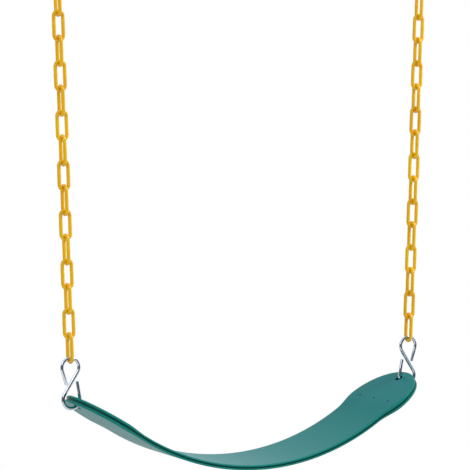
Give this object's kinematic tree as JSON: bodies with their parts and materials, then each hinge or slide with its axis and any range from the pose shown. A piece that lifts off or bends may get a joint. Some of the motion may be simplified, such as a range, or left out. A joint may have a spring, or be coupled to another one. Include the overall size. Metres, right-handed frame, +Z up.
{
  "type": "belt swing seat",
  "caption": "Flexible belt swing seat with paddle ends, hung by steel S-hooks from two plastic-coated link chains with a top hook on each for the swing hanger.",
  "frame": {"origin": "midway between the two hanger eyes, where the hangers carry the top hooks", "axes": "+X along the seat to its right end, +Y from front to back, +Z up; the seat hangs down -Z"},
  "size_m": [0.6722, 0.14, 0.878],
  "materials": {
    "belt_rubber": "satin moulded soft rubber, dark teal green",
    "link_plastic": "glossy dipped plastic, yellow",
    "link_steel": "plain steel wire inside the coating",
    "hook_zinc": "bright zinc-plated steel wire"
  },
  "bodies": {
    "hangers": {"hanger_hook_left": "hook_zinc", "hanger_hook_right": "hook_zinc"},
    "links_01": {"chain_link_left_01": "link_plastic", "chain_link_right_01": "link_plastic", "link_core_01": "link_steel"},
    "links_02": {"chain_link_left_02": "link_plastic", "chain_link_right_02": "link_plastic", "link_core_02": "link_steel"},
    "links_03": {"chain_link_left_03": "link_plastic", "chain_link_right_03": "link_plastic", "link_core_03": "link_steel"},
    "links_04": {"chain_link_left_04": "link_plastic", "chain_link_right_04": "link_plastic", "link_core_04": "link_steel"},
    "links_05": {"chain_link_left_05": "link_plastic", "chain_link_right_05": "link_plastic", "link_core_05": "link_steel"},
    "links_06": {"chain_link_left_06": "link_plastic", "chain_link_right_06": "link_plastic", "link_core_06": "link_steel"},
    "links_07": {"chain_link_left_07": "link_plastic", "chain_link_right_07": "link_plastic", "link_core_07": "link_steel"},
    "links_08": {"chain_link_left_08": "link_plastic", "chain_link_right_08": "link_plastic", "link_core_08": "link_steel"},
    "links_09": {"chain_link_left_09": "link_plastic", "chain_link_right_09": "link_plastic", "link_core_09": "link_steel"},
    "links_10": {"chain_link_left_10": "link_plastic", "chain_link_right_10": "link_plastic", "link_core_10": "link_steel"},
    "links_11": {"chain_link_left_11": "link_plastic", "chain_link_right_11": "link_plastic", "link_core_11": "link_steel"},
    "links_12": {"chain_link_left_12": "link_plastic", "chain_link_right_12": "link_plastic", "link_core_12": "link_steel"},
    "links_13": {"chain_link_left_13": "link_plastic", "chain_link_right_13": "link_plastic", "link_core_13": "link_steel"},
    "links_14": {"chain_link_left_14": "link_plastic", "chain_link_right_14": "link_plastic", "link_core_14": "link_steel"},
    "links_15": {"chain_link_left_15": "link_plastic", "chain_link_right_15": "link_plastic", "link_core_15": "link_steel"},
    "links_16": {"chain_link_left_16": "link_plastic", "chain_link_right_16": "link_plastic", "link_core_16": "link_steel"},
    "links_17": {"chain_link_left_17": "link_plastic", "chain_link_right_17": "link_plastic", "link_core_17": "link_steel"},
    "seat_hooks": {"seat_hook_left": "hook_zinc", "seat_hook_right": "hook_zinc"},
    "belt": {"belt_seat": "belt_rubber"}
  },
  "joints": [
    {"name": "chain_swing", "type": "hinge", "parent": "hangers", "child": "links_01", "pos_m": [0, 0, -0.07286], "axis": [1, 0, 0], "range_deg": [-45, 45]},
    {"name": "link_bend_02", "type": "hinge", "parent": "links_01", "child": "links_02", "pos_m": [0, 0, -0.10374], "axis": [1, 0, 0], "range_deg": [-12, 12]},
    {"name": "link_bend_03", "type": "hinge", "parent": "links_02", "child": "links_03", "pos_m": [0, 0, -0.14632], "axis": [1, 0, 0], "range_deg": [-12, 12]},
    {"name": "link_bend_04", "type": "hinge", "parent": "links_03", "child": "links_04", "pos_m": [0, 0, -0.17711], "axis": [1, 0, 0], "range_deg": [-12, 12]},
    {"name": "link_bend_05", "type": "hinge", "parent": "links_04", "child": "links_05", "pos_m": [0, 0, -0.21968], "axis": [1, 0, 0], "range_deg": [-12, 12]},
    {"name": "link_bend_06", "type": "hinge", "parent": "links_05", "child": "links_06", "pos_m": [0, 0, -0.25047], "axis": [1, 0, 0], "range_deg": [-12, 12]},
    {"name": "link_bend_07", "type": "hinge", "parent": "links_06", "child": "links_07", "pos_m": [0, 0, -0.29304], "axis": [1, 0, 0], "range_deg": [-12, 12]},
    {"name": "link_bend_08", "type": "hinge", "parent": "links_07", "child": "links_08", "pos_m": [0, 0, -0.32383], "axis": [1, 0, 0], "range_deg": [-12, 12]},
    {"name": "link_bend_09", "type": "hinge", "parent": "links_08", "child": "links_09", "pos_m": [0, 0, -0.3664], "axis": [1, 0, 0], "range_deg": [-12, 12]},
    {"name": "link_bend_10", "type": "hinge", "parent": "links_09", "child": "links_10", "pos_m": [0, 0, -0.39719], "axis": [1, 0, 0], "range_deg": [-12, 12]},
    {"name": "link_bend_11", "type": "hinge", "parent": "links_10", "child": "links_11", "pos_m": [0, 0, -0.43976], "axis": [1, 0, 0], "range_deg": [-12, 12]},
    {"name": "link_bend_12", "type": "hinge", "parent": "links_11", "child": "links_12", "pos_m": [0, 0, -0.47055], "axis": [1, 0, 0], "range_deg": [-12, 12]},
    {"name": "link_bend_13", "type": "hinge", "parent": "links_12", "child": "links_13", "pos_m": [0, 0, -0.51312], "axis": [1, 0, 0], "range_deg": [-12, 12]},
    {"name": "link_bend_14", "type": "hinge", "parent": "links_13", "child": "links_14", "pos_m": [0, 0, -0.54391], "axis": [1, 0, 0], "range_deg": [-12, 12]},
    {"name": "link_bend_15", "type": "hinge", "parent": "links_14", "child": "links_15", "pos_m": [0, 0, -0.58649], "axis": [1, 0, 0], "range_deg": [-12, 12]},
    {"name": "link_bend_16", "type": "hinge", "parent": "links_15", "child": "links_16", "pos_m": [0, 0, -0.61727], "axis": [1, 0, 0], "range_deg": [-12, 12]},
    {"name": "link_bend_17", "type": "hinge", "parent": "links_16", "child": "links_17", "pos_m": [0, 0, -0.65985], "axis": [1, 0, 0], "range_deg": [-12, 12]},
    {"name": "hook_tilt", "type": "hinge", "parent": "links_17", "child": "seat_hooks", "pos_m": [0, 0, -0.69073], "axis": [1, 0, 0], "range_deg": [-12, 12]},
    {"name": "belt_tilt", "type": "hinge", "parent": "seat_hooks", "child": "belt", "pos_m": [0, 0, -0.75981], "axis": [1, 0, 0], "range_deg": [-15, 15]}
  ]
}
